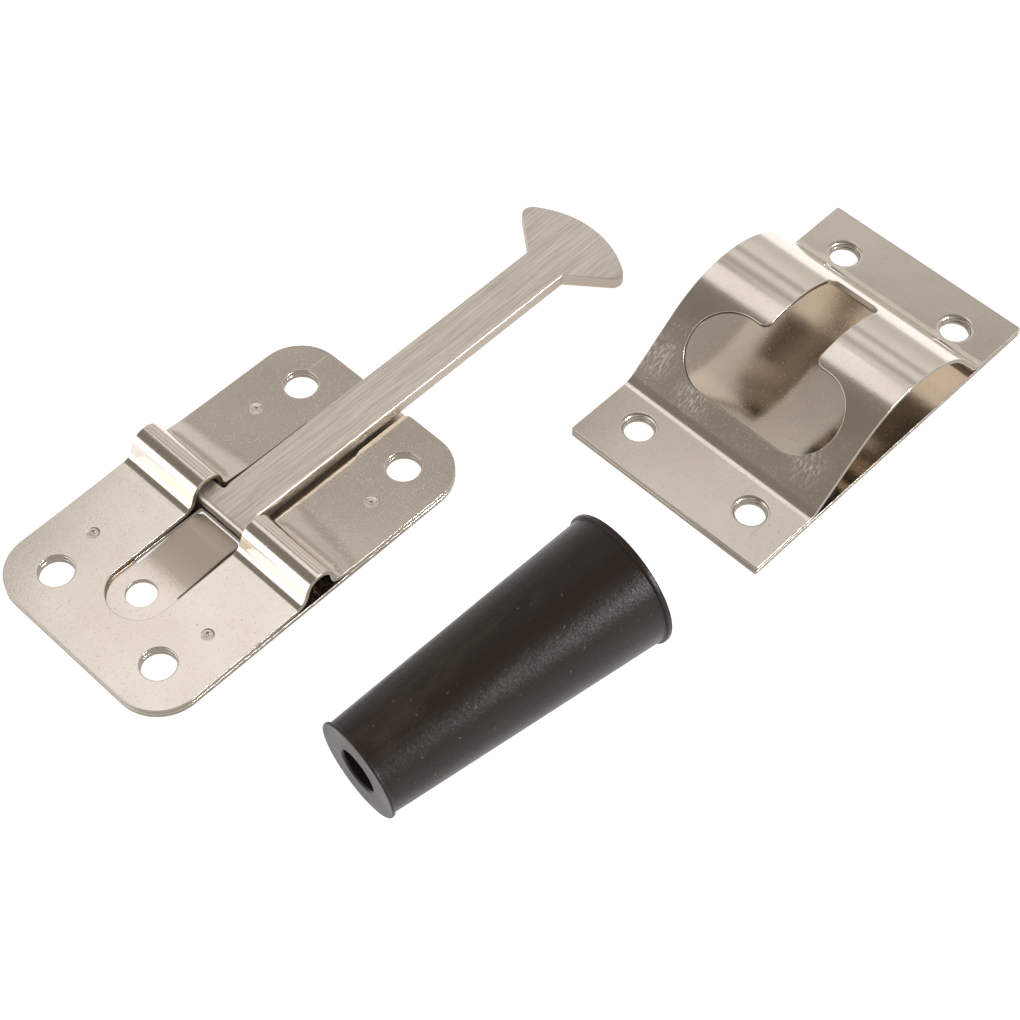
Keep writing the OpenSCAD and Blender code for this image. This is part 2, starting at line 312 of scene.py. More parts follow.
@dataclass(frozen=True)
class Sheet:
    """A sheet cut out flat and then bent: its flat pattern, its folding and its thickness.

    Attributes:
        outer: the outer cut edge.
        holes: the cut edges of its holes.
        thickness: thickness, mm.
        fold: gives x, z and heading of the sheet's middle at a length s and a width y.
        grid: lengths s and widths y at which the two faces have points.
        relief: rise of the upper face at s, y with its two slopes.
        dense: places that need fine rings of points, as x, y and radius.
    """

    outer: Cut
    holes: list[Cut]
    thickness: float
    fold: Fold
    grid: tuple[Array, Array]
    relief: Relief | None = None
    dense: tuple[tuple[float, float, float], ...] = ()

    def inner_points(self, lines: list[Array]) -> Array:
        """Points of the faces: the grid and the fine rings, kept clear of every cut edge.

        Args:
            lines: the edges of the faces.

        Returns:
            The points kept, by the even-odd rule and a distance of half a step.
        """
        s, y = np.meshgrid(*self.grid, indexing="ij")
        points = np.stack([s.ravel(), y.ravel()], 1)
        for cx, cy, reach in self.dense:
            points = points[np.hypot(points[:, 0] - cx, points[:, 1] - cy) > reach]
            rho, phi = np.meshgrid(np.linspace(0.06, reach, 12), np.arange(28) * math.pi / 14)
            rings = np.stack([cx + rho * np.cos(phi), cy + rho * np.sin(phi)], -1)
            points = np.concatenate([points, rings.reshape(-1, 2)])
        points = points[inside(points, lines)]
        edge = np.concatenate(lines)
        parts = [part for part in np.array_split(points, 24) if len(part)]
        near = np.concatenate([np.hypot(*(part[:, None] - edge).transpose(2, 0, 1)).min(1) for part in parts])
        return points[near > 0.32]

    def place(self, p: Array, n: Array, h: Array, up: Array) -> tuple[Array, Array]:
        """Bends points and normals of the flat sheet into place.

        A point is the middle's point plus its height times the middle's normal (-sin a, cos a) for heading a.

        Args:
            p: length and width of each point.
            n: the part of each normal that lies in the sheet.
            h: height over the sheet's middle.
            up: the part of each normal that is square to the sheet.

        Returns:
            Places and normals in the row frame, mm.
        """
        x, z, a = self.fold(p[:, 0], p[:, 1])
        sin, cos = np.sin(a), np.cos(a)
        place = np.stack([x - h * sin, p[:, 1], z + h * cos], 1)
        normal = np.stack([n[:, 0] * cos - up * sin, n[:, 1], n[:, 0] * sin + up * cos], 1)
        return place, normal / np.linalg.norm(normal, axis=1)[:, None]

    def mesh(self, name: str) -> Piece:
        """Builds the closed sheet.

        The two faces share one triangulation. Every cut edge is a band of rings: a quarter circle of the upper
        rounding, the wall, and a quarter circle of the lower rounding.

        Args:
            name: name of the piece.

        Returns:
            The piece.
        """
        half = self.thickness / 2
        cuts = [self.outer, *self.holes]
        lines = [c.line.points - c.line.normals * np.reshape(c.upper, (-1, 1)) for c in cuts]
        inner = self.inner_points(lines)
        loops = np.cumsum([0] + [len(line) for line in lines])
        edge = np.concatenate(lines)
        ring = np.arange(len(edge))
        following = np.concatenate([np.roll(ring[a:b], -1) for a, b in zip(loops[:-1], loops[1:])])
        flat = np.concatenate([edge, inner])
        got = delaunay_2d_cdt(flat.tolist(), np.stack([ring, following], 1).tolist(), [], 0, 1e-6, True)
        source = np.array([ids[0] if ids else -1 for ids in got[3]])
        tri = source[np.array(got[2])]
        middle = flat[tri].mean(1)
        tri = tri[inside(middle, lines) & (tri >= 0).all(1)]

        count = len(inner)
        rise = self.relief(inner[:, 0], inner[:, 1]) if self.relief else (np.zeros(count),) * 3
        tilt = np.stack([-rise[1], -rise[2]], 1)
        zero = np.zeros((count, 2))
        parts = [(inner, tilt, half + rise[0], np.ones(count)), (inner, zero, np.full(count, -half), -np.ones(count))]
        normals = np.concatenate([c.line.normals for c in cuts])
        points = np.concatenate([c.line.points for c in cuts])
        upper = np.concatenate([np.broadcast_to(c.upper, len(c.line.points)) for c in cuts])
        lower = np.concatenate([np.broadcast_to(c.lower, len(c.line.points)) for c in cuts])
        quarter = np.linspace(0, math.pi / 2, 5)
        cut = [np.zeros(2 * count)]
        for size, angles, sign in ((upper, quarter, 1), (lower, quarter[::-1], -1)):
            for t in angles:
                cut.append(np.full(len(points), math.sin(t) ** 4))
                shift = size * (math.sin(t) - 1)
                height = sign * (half - size + size * math.cos(t))
                up = np.full(len(points), sign * math.cos(t))
                parts.append((points + normals * shift[:, None], normals * math.sin(t), height, up))
        place, normal = self.place(*(np.concatenate(c) for c in zip(*parts)))

        n_edge, first = len(points), 2 * count
        top = np.where(tri < n_edge, first + tri, tri - n_edge)
        bottom = np.where(tri < n_edge, first + 9 * n_edge + tri, tri - n_edge + count)[:, ::-1]
        level = first + n_edge * np.arange(9)[:, None]
        quads = np.stack([level + ring, level + n_edge + ring, level + n_edge + following, level + following], -1)
        return make_object(name, place, [top, bottom, quads.reshape(-1, 4)], normal, np.concatenate(cut))


def inside(points: Array, lines: list[Array]) -> Array:
    """Tells which points lie in the metal: a ray along x crosses the edges an odd number of times.

    Args:
        points: the points to test.
        lines: every closed edge.

    Returns:
        True for each point inside.
    """
    a = np.concatenate(lines)
    b = np.concatenate([np.roll(line, -1, axis=0) for line in lines])
    crossings = np.zeros(len(points), int)
    for part in np.array_split(np.arange(len(points)), max(1, len(points) // 1500)):
        px, py = points[part, 0, None], points[part, 1, None]
        spans = (a[:, 1] > py) != (b[:, 1] > py)
        with np.errstate(divide="ignore", invalid="ignore"):
            at = a[:, 0] + (py - a[:, 1]) * (b[:, 0] - a[:, 0]) / (b[:, 1] - a[:, 1])
        crossings[part] = (spans & (at > px)).sum(1)
    return crossings % 2 == 1


def make_object(
    name: str, place: Array, faces: list[Array], normal: Array, cut: Array | None = None
) -> Piece:
    """Puts arrays into a smooth mesh at the origin.

    Args:
        name: name of the piece.
        place: vertices, mm.
        faces: arrays of triangles or quads.
        normal: one normal per vertex.
        cut: 1 for each vertex on a cut edge and 0 on a face, for the finish.

    Returns:
        The piece.
    """
    used = np.unique(np.concatenate([f.ravel() for f in faces]))
    new = np.zeros(len(place), int)
    new[used] = np.arange(len(used))
    mesh = bpy.data.meshes.new(name)
    mesh.from_pydata((place[used] * MM).tolist(), [], [row for f in faces for row in new[f].tolist()])
    mesh.update()
    mesh.normals_split_custom_set_from_vertices(normal[used].tolist())
    if cut is not None:
        mesh.attributes.new("cut", "FLOAT", "POINT").data.foreach_set("value", cut[used].astype(np.float32))
    piece = bpy.data.objects.new(name, mesh)
    bpy.context.scene.collection.objects.link(piece)
    return piece


def steps(*marks: float, size: float) -> Array:
    """Even steps no longer than size between neighbouring marks."""
    m = np.unique(np.round(marks, 4))
    spans = zip(m[:-1], m[1:])
    return np.unique(np.concatenate([np.linspace(a, b, max(2, math.ceil((b - a) / size) + 1)) for a, b in spans]))


def bend_steps(bend: Bend, flat: float, turn: float) -> Array:
    """Lengths at which a bent sheet has points.

    Args:
        bend: the side view.
        flat: longest step on a straight run, mm.
        turn: largest turn per step on an arc, degrees.

    Returns:
        The lengths.
    """
    at = bend.starts()
    parts = []
    for a, b, (_, t) in zip(at[:-1], at[1:], bend.runs):
        count = max(math.ceil((b - a) / flat), math.ceil(abs(math.degrees(t)) / turn))
        parts.append(np.linspace(a, b, count + 1))
    return np.unique(np.concatenate(parts))


def dress(piece: Piece, node: str, body: str, finish: bpy.types.Material) -> None:
    """Gives a piece its finish and lets it stand for a CAD node.

    Args:
        piece: the piece.
        node: the CAD node that it stands for.
        body: the CAD body that it rides on.
        finish: its material.
    """
    piece.data.materials.append(finish)
    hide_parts(node)
    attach(piece, body)
    LOG.info("%s: %d faces", piece.name, len(piece.data.polygons))


# ---- finishes ----------------------------------


@dataclass(frozen=True)
class BrightStainless:
    """Cold-rolled stainless sheet, bright annealed and stamped.

    It mirrors its surroundings softly, with the fine grain of the rolls, speckles and hairline scratches
    from handling.
    """

    colour: str = "#E0D8CF"
    dull: str = "#BDB3A8"
    # Darker tone of the spring tongue: painted shade
    heel_wear_and_painted_shade: str = "#C7BCAF"
    sheared: str = "#8E8478"
    roughness: float = 0.14
    scuffs: tuple[tuple[float, float, float], ...] = ((77.5, -31.5, 6.6), (75.5, -42.0, 5.0), (77.4, -67.0, 6.7))

    def material(self) -> bpy.types.Material:
        """Makes the material."""
        m, node = blank_material(f"bright_annealed_stainless_{round(self.roughness * 100)}")
        at = node("TexCoord").outputs["Object"]
        # Speckles of about 0.3 mm and cloudy patches of about 12 mm
        speck = node("TexNoise", Vector=at, Scale=1 / (0.3 * MM), Detail=2.0, Roughness=0.6)
        cloud = node("TexNoise", Vector=at, Scale=1 / (12 * MM), Detail=3.0)
        # Hairlines about 0.35 mm wide and 9 mm long
        warp = node("Mapping", Vector=at, Rotation=(0.0, 0.0, 0.7), Scale=per_mm(9, 0.35, 3))
        hair = node("TexNoise", Vector=warp, Scale=1.0, Detail=2.0)
        hairs = node("MapRange", Value=hair, i1=0.7, i2=0.78)
        pits = node("MapRange", Value=speck, i1=0.6, i2=0.74)
        fresh = node("Math", operation="MAXIMUM", i0=hairs, i1=pits)
        # Scuffs round the keyhole's mouth, where the arm's head has struck: strokes about 2 mm long within 6 mm
        lines = node("Mapping", Vector=at, Rotation=(0.0, 0.7, 0.9), Scale=per_mm(2, 0.35, 1))
        strokes = node("TexNoise", Vector=lines, Scale=1.0, Detail=3.0, Roughness=0.7)
        struck = node("MapRange", Value=strokes, i1=0.46, i2=0.62)
        near: Any = 0.0
        for place in self.scuffs:
            far = node("VectorMath", operation="DISTANCE", i0=at, i1=tuple(v * MM for v in place))
            soft = node("MapRange", interpolation_type="SMOOTHSTEP", Value=far.outputs["Value"], i1=6 * MM, i2=MM)
            near = node("Math", operation="MAXIMUM", i0=near, i1=soft)
        scuffed = node("Math", operation="MULTIPLY", i0=struck, i1=near)
        marks = node("Math", operation="MAXIMUM", i0=fresh, i1=scuffed)
        bright = node("Math", operation="MULTIPLY_ADD", i0=marks, i1=0.2, i2=self.roughness)
        # The spring tongue, from its root at -20 mm to its tip at -2.9 mm, is rougher where the arm's heel wears it
        # dull, and is painted darker towards the hinge: painted shade
        place = node("SeparateXYZ", Vector=at)
        across = node("Math", operation="ABSOLUTE", i0=place.outputs["Y"])
        on = node("MapRange", Value=across, i1=5.7 * MM, i2=5.4 * MM)
        root = node("MapRange", interpolation_type="SMOOTHSTEP", Value=place.outputs["X"], i1=-20 * MM, i2=-9 * MM)
        tip = node("MapRange", Value=place.outputs["X"], i1=-2.2 * MM, i2=-2.5 * MM)
        half = node("Math", operation="MULTIPLY", i0=root, i1=tip)
        worn = node("Math", operation="MULTIPLY", i0=half, i1=on)
        dulled = node("Math", operation="MULTIPLY_ADD", i0=worn, i1=0.3, i2=bright)
        # Punched and sheared edges are torn grey
        edge = node("Attribute", attribute_name="cut").outputs["Fac"]
        rough = node("Math", operation="MULTIPLY_ADD", i0=edge, i1=0.3, i2=dulled)
        tone = node("MapRange", Value=cloud, i1=0.35, i2=0.65, i3=0.0, i4=0.22)
        grey = node("Math", operation="MULTIPLY_ADD", i0=marks, i1=0.25, i2=tone)
        clean = node("Mix", data_type="RGBA", Factor=grey, i6=linear(self.colour), i7=linear(self.dull))
        # Painted shade on the spring tongue, darkest towards the hinge
        face = node("Mix", data_type="RGBA", Factor=worn, i6=clean.outputs[2], i7=linear(self.heel_wear_and_painted_shade))
        mix = node("Mix", data_type="RGBA", Factor=edge, i6=face.outputs[2], i7=linear(self.sheared))
        # The grain ends at the rounded edges
        grain = node("MapRange", Value=edge, i1=0.0, i2=0.2, i3=0.1, i4=0.0)
        bump = node("Bump", Height=speck, Strength=grain, Distance=0.05 * MM)
        shader = node("BsdfPrincipled", Base_Color=mix.outputs[2], Metallic=1.0, Roughness=rough, Normal=bump)
        node("OutputMaterial", Surface=shader)
        return m


@dataclass(frozen=True)
class BrushedStainless:
    """Stainless bar ground lengthwise on a belt, which leaves long parallel streaks that blur reflections."""

    light: str = "#EEE7DF"
    dark: str = "#C5BCB2"
    # Colour of the punched sides: painted shade for the shadow on the arm's sides
    side: str = "#ADA397"
    roughness: float = 0.46

    def material(self) -> bpy.types.Material:
        """Makes the material."""
        m, node = blank_material("belt_ground_stainless")
        at = node("TexCoord").outputs["Object"]
        # Streaks about 0.16 mm wide and 9 mm long, drawn a little coarser than a real belt's to show at this size
        fine = node("Mapping", Vector=at, Scale=per_mm(9, 0.16, 0.16))
        streak = node("TexNoise", Vector=fine, Scale=1.0, Detail=4.0, Roughness=0.7)
        wide = node("Mapping", Vector=at, Scale=per_mm(30, 1.1, 1.1))
        band = node("TexNoise", Vector=wide, Scale=1.0, Detail=2.0)
        both = node("Math", operation="MULTIPLY_ADD", i0=band, i1=0.2, i2=streak)
        tone = node("MapRange", Value=both, i1=0.46, i2=0.74)
        ground = node("Mix", data_type="RGBA", Factor=tone, i6=linear(self.light), i7=linear(self.dark))
        # The punched sides, which the belt never touches, get a darker colour: painted shade for the shadow that falls
        # on the arm's sides
        side = node("Attribute", attribute_name="cut").outputs["Fac"]
        mix = node("Mix", data_type="RGBA", Factor=side, i6=ground.outputs[2], i7=linear(self.side))
        rough = node("Math", operation="MULTIPLY_ADD", i0=streak, i1=0.14, i2=self.roughness - 0.07)
        bump = node("Bump", Height=streak, Strength=0.35, Distance=0.04 * MM)
        shader = node("BsdfPrincipled", Base_Color=mix.outputs[2], Metallic=1.0, Roughness=rough, Normal=bump)
        node("OutputMaterial", Surface=shader)
        return m


@dataclass(frozen=True)
class MouldedRubber:
    """Black natural rubber out of a steel mould: nearly black, faintly brown, with a low sheen and dusty scuffs."""

    colour: str = "#1D1611"
    dust: str = "#4C4036"
    roughness: float = 0.34

    def material(self) -> bpy.types.Material:
        """Makes the material."""
        m, node = blank_material("moulded_black_rubber")
        at = node("TexCoord").outputs["Object"]
        # Grain of about 0.7 mm, scuffs about 6 mm wide and 22 mm long that lie along the bumper
        grain = node("TexNoise", Vector=at, Scale=1 / (0.7 * MM), Detail=4.0, Roughness=0.7)
        long = node("Mapping", Vector=at, Rotation=(0.0, 0.0, 0.12), Scale=per_mm(22, 6, 6))
        scuff = node("TexNoise", Vector=long, Scale=1.0, Detail=5.0, Roughness=0.7)
        worn = node("MapRange", Value=scuff, i1=0.52, i2=0.78, i3=0.0, i4=0.3)
        # Flecks of dust about 0.4 mm across
        fine = node("TexNoise", Vector=at, Scale=1 / (0.9 * MM), Detail=1.0)
        flecks = node("MapRange", Value=fine, i1=0.74, i2=0.8)
        dusty = node("Math", operation="MAXIMUM", i0=worn, i1=flecks)
        mix = node("Mix", data_type="RGBA", Factor=dusty, i6=linear(self.colour), i7=linear(self.dust))
        rough = node("Math", operation="MULTIPLY_ADD", i0=scuff, i1=0.3, i2=self.roughness - 0.15)
        bump = node("Bump", Height=grain, Strength=0.8, Distance=0.09 * MM)
        colour = mix.outputs[2]
        shader = node("BsdfPrincipled", Base_Color=colour, Roughness=rough, Normal=bump, Specular_IOR_Level=0.25)
        node("OutputMaterial", Surface=shader)
        return m


class Finish(Enum):
    """The finishes of the set."""

    SHEET = BrightStainless()
    # The same stainless in darker colours for the catch's back sheet: painted shade for the shadow under the dome
    SHEET_DARKENED_AS_SHADE = BrightStainless("#C9C1B6", "#AEA69B", roughness=0.13)
    BAR = BrushedStainless()
    RUBBER = MouldedRubber()


# ---- plates ------------------------------------


@dataclass(frozen=True)
class Plate:
    """What the arm plate and the catch share: two sheets of one size with four screw holes. Lengths in mm."""

    length: float
    width: float
    corner: float
    screw_spread: tuple[float, float]
    screw_radius: float
    hole_edge: float
    centre: tuple[float, float] = (0.0, 0.0)
    thickness: float = 1.0

    def outline(self, end: float, spacing: float, arc_step: float) -> Loop:
        """The outer edge of the flat sheet.

        Args:
            end: length at which the sheet ends.
            spacing: the longest step on a side.
            arc_step: the largest turn per step at a corner, degrees.

        Returns:
            The line.
        """
        y, w, c = self.centre[1], self.width / 2, self.corner
        half = [Corner(-self.length / 2, y - w, c), Corner(end, y - w, c)]
        return rounded_loop(mirrored(half, y), spacing, arc_step)

    def screw_holes(self, bend: Bend) -> list[Cut]:
        """The four corner holes, laid out on the flat sheet."""
        dx, dy = (d / 2 for d in self.screw_spread)
        return [
            Cut(round_hole(bend.length_at(sx * dx), self.centre[1] + sy * dy, self.screw_radius), self.hole_edge, BACK)
            for sx in (-1, 1)
            for sy in (-1, 1)
        ]


@dataclass(frozen=True)
class ArmPlate(Plate):
    """Two spot-welded sheets: the front one rolled into the knuckle, the back one with the spring tongue."""

    length: float = 75.8
    width: float = 46.0
    corner: float = 8.7
    screw_spread: tuple[float, float] = (58.0, 27.2)
    screw_radius: float = 3.2
    hole_edge: float = 0.3
    middle_x: float = -21.3
    middle_radius: float = 2.8
    weld_spread: tuple[float, float] = (38.6, 30.4)
    weld_radius: float = 1.3
    weld_depth: float = 0.25
    slot_wide: float = 6.2
    slot_narrow: float = 5.15
    slot_step: tuple[float, float] = (23.9, 25.7)
    slot_mouth: float = 1.5
    slot_turn: float = 2.5
    lift: float = 0.3
    lift_reach: float = 28.0
    ramp: tuple[float, float, float] = (0.082, 5.6, 0.7)
    tongue_half: float = 5.3
    tongue_tip: float = -2.9
    tongue_slit: float = 0.9
    tongue_corner: float = 1.2
    slit_end: float = 0.3
    slit_corner: float = 0.5
    knuckle: Hump = Hump(0, 3.5, 1.5, 3.0, (70, 85), (2.8, 1.7))
    tongue: Hump = Hump(-6.2, -5.05, 0.5, 6.5, (5.6, 4.0), (32.0, 5.5))

    def dimples(self, bend: Bend) -> tuple[Relief, tuple[tuple[float, float, float], ...]]:
        """The spot-weld marks.

        A mark dips by d (1 - (q/r)^2)^2 within its radius r, and a low ring of pressed-up metal with the height
        of a bell curve stands round it.

        Args:
            bend: side view of the front sheet.

        Returns:
            The relief and the places of the marks.
        """
        dx, dy = (d / 2 for d in self.weld_spread)
        centres = [(bend.length_at(sx * dx), sy * dy) for sx in (-1, 1) for sy in (-1, 1)]
        r, d = self.weld_radius, self.weld_depth

        def relief(s: Array, y: Array) -> tuple[Array, Array, Array]:
            """Rise and slopes of the four marks."""
            rise, ds, dy_ = np.zeros_like(s), np.zeros_like(s), np.zeros_like(s)
            for cx, cy in centres:
                u, v = s - cx, y - cy
                q = np.hypot(u, v) / r
                dip = np.clip(1 - q**2, 0, None)
                crater = 0.55 * d * np.exp(-(((q - 0.42) / 0.16) ** 2))
                rise += -d * dip**2 + crater
                slope = (4 * d * dip * q - 2 * (q - 0.42) / 0.16**2 * crater) / r
                with np.errstate(divide="ignore", invalid="ignore"):
                    ds += np.nan_to_num(slope * u / (q * r))
                    dy_ += np.nan_to_num(slope * v / (q * r))
            return rise, ds, dy_

        return relief, tuple((cx, cy, r * 1.15) for cx, cy in centres)

    def sprung(self, bend: Bend) -> Fold:
        """The front sheet stands off the back sheet beside its knuckle, where the roll springs it up.

        At u from a foot of the knuckle the wide lift is l (1 - u/L)^2 and its slope 2 l (1 - u/L) / L. Beyond the
        second foot a ramp of slope s adds to it, which fades out at c: its lift is s w/2 ln(1 + exp(2(c - u)/w)),
        and c comes nearer towards the plate's edge.

        Args:
            bend: side view of the sheet pressed flat.

        Returns:
            The side view with the lift.
        """
        first, second = (float(v) for v in bend.starts()[[1, 7]])
        slope, at, soft = self.ramp

        def fold(s: Array, y: Array) -> tuple[Array, Array, Array]:
            """Place and heading with the lift."""
            x, z, head = bend.at(s)
            before, after = np.clip(first - s, 0, None), np.clip(s - second, 0, None)
            t0, t1 = (np.clip(1 - u / self.lift_reach, 0, 1) for u in (before, after))
            end = at - 0.1 * np.abs(y)
            knuckle = self.lift + slope * soft / 2 * np.log1p(np.exp(2 * end / soft))
            beyond = self.lift * t1**2 + slope * soft / 2 * np.log1p(np.exp(2 * (end - after) / soft))
            falling = -2 * self.lift * t1 / self.lift_reach - slope / (1 + np.exp(2 * (after - end) / soft))
            lift = np.where(before > 0, knuckle * t0**2, beyond)
            climb = np.where(before > 0, 2 * knuckle * t0 / self.lift_reach, np.where(after > 0, falling, 0.0))
            return x, z + lift, head + np.arctan(climb)

        return fold

    def front(self) -> Piece:
        """The front sheet: one outline that runs round the plate and back through the slot."""
        a, w = self.length / 2, self.width / 2
        bend = self.knuckle.bend(-a, a)
        end = bend.length_at(a)
        k0, k1 = (bend.length_at(x) for x in self.slot_step)
        wide, narrow = self.slot_wide, self.slot_narrow
        half = [
            Corner(-a, -w, self.corner),
            Corner(end, -w, self.corner),
            Corner(end, -narrow, self.slot_mouth),
            Corner(k1, -narrow, self.slot_turn),
            Corner(k0, -wide, self.slot_turn),
            Corner(self.middle_x - wide, -wide, wide - 0.001),
        ]
        relief, dense = self.dimples(bend)
        return Sheet(
            Cut(rounded_loop(mirrored(half), 0.5), EDGE, SEAM),
            self.screw_holes(bend),
            self.thickness,
            self.sprung(bend),
            (bend_steps(bend, 1.5, 5), steps(-w, w, size=2.5)),
            relief,
            dense,
        ).mesh("front_sheet")

    def back(self) -> Piece:
        """The back sheet: flat, except for the tongue inside its U-shaped slit, which follows the tongue's bend."""
        a, w, n = self.length / 2, self.width / 2, self.tongue_half
        rise = self.tongue.bend(-a, 4.0)
        root = float(rise.starts()[1])
        tip = rise.length_at(self.tongue_tip)
        wide = n + self.tongue_slit
        far = self.tongue_tip + self.tongue_slit

        def fold(s: Array, y: Array) -> tuple[Array, Array, Array]:
            """Bent inside the slit, flat outside it."""
            x, z, head = rise.at(s)
            bent = (np.abs(y) < n + self.tongue_slit / 2) & (s > root) & (s < tip + self.tongue_slit / 3)
            return np.where(bent, x, s), np.where(bent, z, self.thickness / 2), np.where(bent, head, 0.0)

        half = [
            Corner(tip, n, self.tongue_corner),
            Corner(root, n, self.slit_end),
            Corner(root, wide, self.slit_end),
            Corner(far, wide, self.slit_corner),
        ]
        flat = Bend(-a, self.thickness / 2, ((2 * a, 0.0),))
        window = Cut(round_hole(self.middle_x, 0, self.middle_radius), 0.15, BACK)
        slit = Cut(rounded_loop(mirrored(half), 0.5), 0.12, BACK)
        along = np.unique(np.concatenate([steps(-a, a, size=2.5), bend_steps(rise, 2.5, 1.5)]))
        return Sheet(
            Cut(self.outline(a, 0.8, 6.0), SEAM, EDGE),
            [*self.screw_holes(flat), window, slit],
            self.thickness,
            fold,
            (along, steps(-w, -n, 0, n, w, size=2.5)),
        ).mesh("back_sheet_with_tongue")


# ---- arm ---------------------------------------


@dataclass(frozen=True)
class Arm:
    """One stamped bar: two ears that turn in the knuckle, a flat shank and a T head under a crown arc."""

    height: float = 3.5
    thickness: float = 2.8
    half_width: float = 4.5
    ear: float = 2.24
    ear_end: float = 15.5
    ear_edge: float = 0.9
    fillet: float = 0.6
    edge: float = 0.35
    ear_corner: float = 0.3
    neck: float = 80.0
    crown: float = 93.0
    crown_radius: float = 20.0
    head_half: float = 12.65
    head_corner: float = 2.0

    def head_corners(self) -> list[Corner]:
        """The +Y half of the head.

        The corner's circle r lies inside the crown's circle R and touches it at the angle asin((h - r)/(R - r)),
        h being half the head's width. The line from the neck touches the corner's circle: it leaves the way to the
        circle's centre by the angle asin(r / distance). The crown's tangents meet the axis at R / cos(angle).

        Returns:
            The crown's corner on the axis, the head's corner and the neck.
        """
        r, big = self.head_corner, self.crown_radius
        neck = np.array([self.neck, self.half_width])
        middle = np.array([self.crown - big, 0.0])
        half = math.asin((self.head_half - r) / (big - r))
        ray = np.array([math.cos(half), math.sin(half)])
        out = middle + (big - r) * ray - neck
        a = math.atan2(out[1], out[0]) + math.asin(r / np.hypot(*out))
        d, e = np.array([math.cos(a), math.sin(a)]), np.array([-ray[1], ray[0]])
        t = np.linalg.solve(np.stack([d, -e], 1), middle + big * ray - neck)[0]
        corner = neck + t * d
        return [Corner(middle[0] + big / ray[0], 0, big - 0.02), Corner(*corner, r - 0.001), Corner(*neck, 0.2)]

    def build(self) -> Piece:
        """The whole arm as one flat bar with a rolled heel."""
        e, end, w = self.ear, self.ear_end, self.half_width
        head = self.head_corners()
        low = [Corner(c.x, -c.y, c.radius) for c in head[:0:-1]]
        line = rounded_loop(
            [
                Corner(-e, -end, self.ear_corner),
                Corner(e, -end, self.ear_corner),
                Corner(e, -w, self.fillet),
                *low,
                *head,
                Corner(e, w, self.fillet),
                Corner(e, end, self.ear_corner),
                Corner(-e, end, self.ear_corner),
            ],
            0.7,
            4.0,
        )
        x, y = line.points.T
        ear = np.clip((3.6 - x) / 1.2, 0, 1) * np.clip((end - 0.05 - np.abs(y)) / 0.4, 0, 1)
        size = self.edge + (self.ear_edge - self.edge) * ear * ear * (3 - 2 * ear)
        return Sheet(
            Cut(line, size, size),
            [],
            self.thickness,
            lambda s, y: (s, np.full_like(s, self.height), np.zeros_like(s)),
            (steps(-e, e, self.neck, self.crown, size=2.0), steps(-end, -w, 0, w, end, size=1.5)),
        ).mesh("arm")


# ---- catch -------------------------------------


@dataclass(frozen=True)
class Catch(Plate):
    """The catch: a domed cover with its keyhole on a plain back sheet."""

    centre: tuple[float, float] = (94.5, -51.4)
    length: float = 76.2
    width: float = 44.4
    corner: float = 0.4
    screw_spread: tuple[float, float] = (58.8, 26.8)
    screw_radius: float = 2.8
    hole_edge: float = 0.8
    dome: Hump = Hump(2.8, -5.4, 1.5, 21.5, (39.5, 52.0), (4.5, 3.2))
    entry_length: float = 34.0
    entry_width: float = 16.4
    entry_from_crest: float = 16.0
    slot_half: float = 5.6
    slot_from_crest: float = 12.5
    slot_corner: float = 2.0
    shoulder: float = 1.8

    def moved(self, bend: Callable[[Array], tuple[Array, Array, Array]]) -> Fold:
        """Carries a side view to the catch's place; widths are already counted in the row frame."""
        return lambda s, y: tuple(v + d for v, d in zip(bend(s), (self.centre[0], 0.0, 0.0)))

    def keyhole(self, bend: Bend) -> Loop:
        """The keyhole on the flat sheet: a wide entry with round ends, then the holding slot over the crest.

        Lengths that the solid measures on the outer face shrink to the middle by the ratio of the two radii.

        Args:
            bend: side view of the cover.

        Returns:
            The hole's line.
        """
        outer = self.dome.radius + self.thickness / 2
        flank = float(bend.starts()[3])
        crest = float(bend.starts()[4])
        shift = self.entry_from_crest - outer * math.radians(self.dome.slopes[0])
        low = flank - shift - self.entry_width / 2
        high = flank + self.dome.radius * math.asin((self.entry_width / 2 - shift) / outer)
        end = crest + self.slot_from_crest * self.dome.radius / outer
        y, w, k = self.centre[1], self.entry_length / 2, self.slot_half
        r = (high - low) / 2 - 0.01
        half = [
            Corner(low, y + w, r),
            Corner(high, y + w, r),
            Corner(high, y + k, self.shoulder),
            Corner(end, y + k, self.slot_corner),
        ]
        return rounded_loop(mirrored(half, y), 0.5)

    def sheet(self, name: str, bend: Bend, holes: list[Cut], edges: tuple[float, float], turn: float) -> Piece:
        """One of the two sheets.

        Args:
            name: name of the piece.
            bend: its side view.
            holes: its holes.
            edges: rounding of its upper and its lower edges.
            turn: largest turn per step, degrees.

        Returns:
            The piece.
        """
        y, w = self.centre[1], self.width / 2
        return Sheet(
            Cut(self.outline(bend.length_at(self.length / 2), 0.6, 15.0), *edges),
            holes,
            self.thickness,
            self.moved(bend.at),
            (bend_steps(bend, 2.5, turn), steps(y - w, y + w, size=2.5)),
        ).mesh(name)

    def cover(self) -> Piece:
        """The domed cover."""
        bend = self.dome.bend(-self.length / 2, self.length / 2)
        holes = [*self.screw_holes(bend), Cut(self.keyhole(bend), EDGE, 0.12)]
        return self.sheet("domed_cover", bend, holes, (EDGE, SEAM), 2.5)

    def back(self) -> Piece:
        """The back sheet."""
        bend = Bend(-self.length / 2, self.thickness / 2, ((self.length, 0.0),))
        return self.sheet("catch_back_sheet", bend, self.screw_holes(bend), (SEAM, EDGE), 5.0)


# ---- bumper ------------------------------------


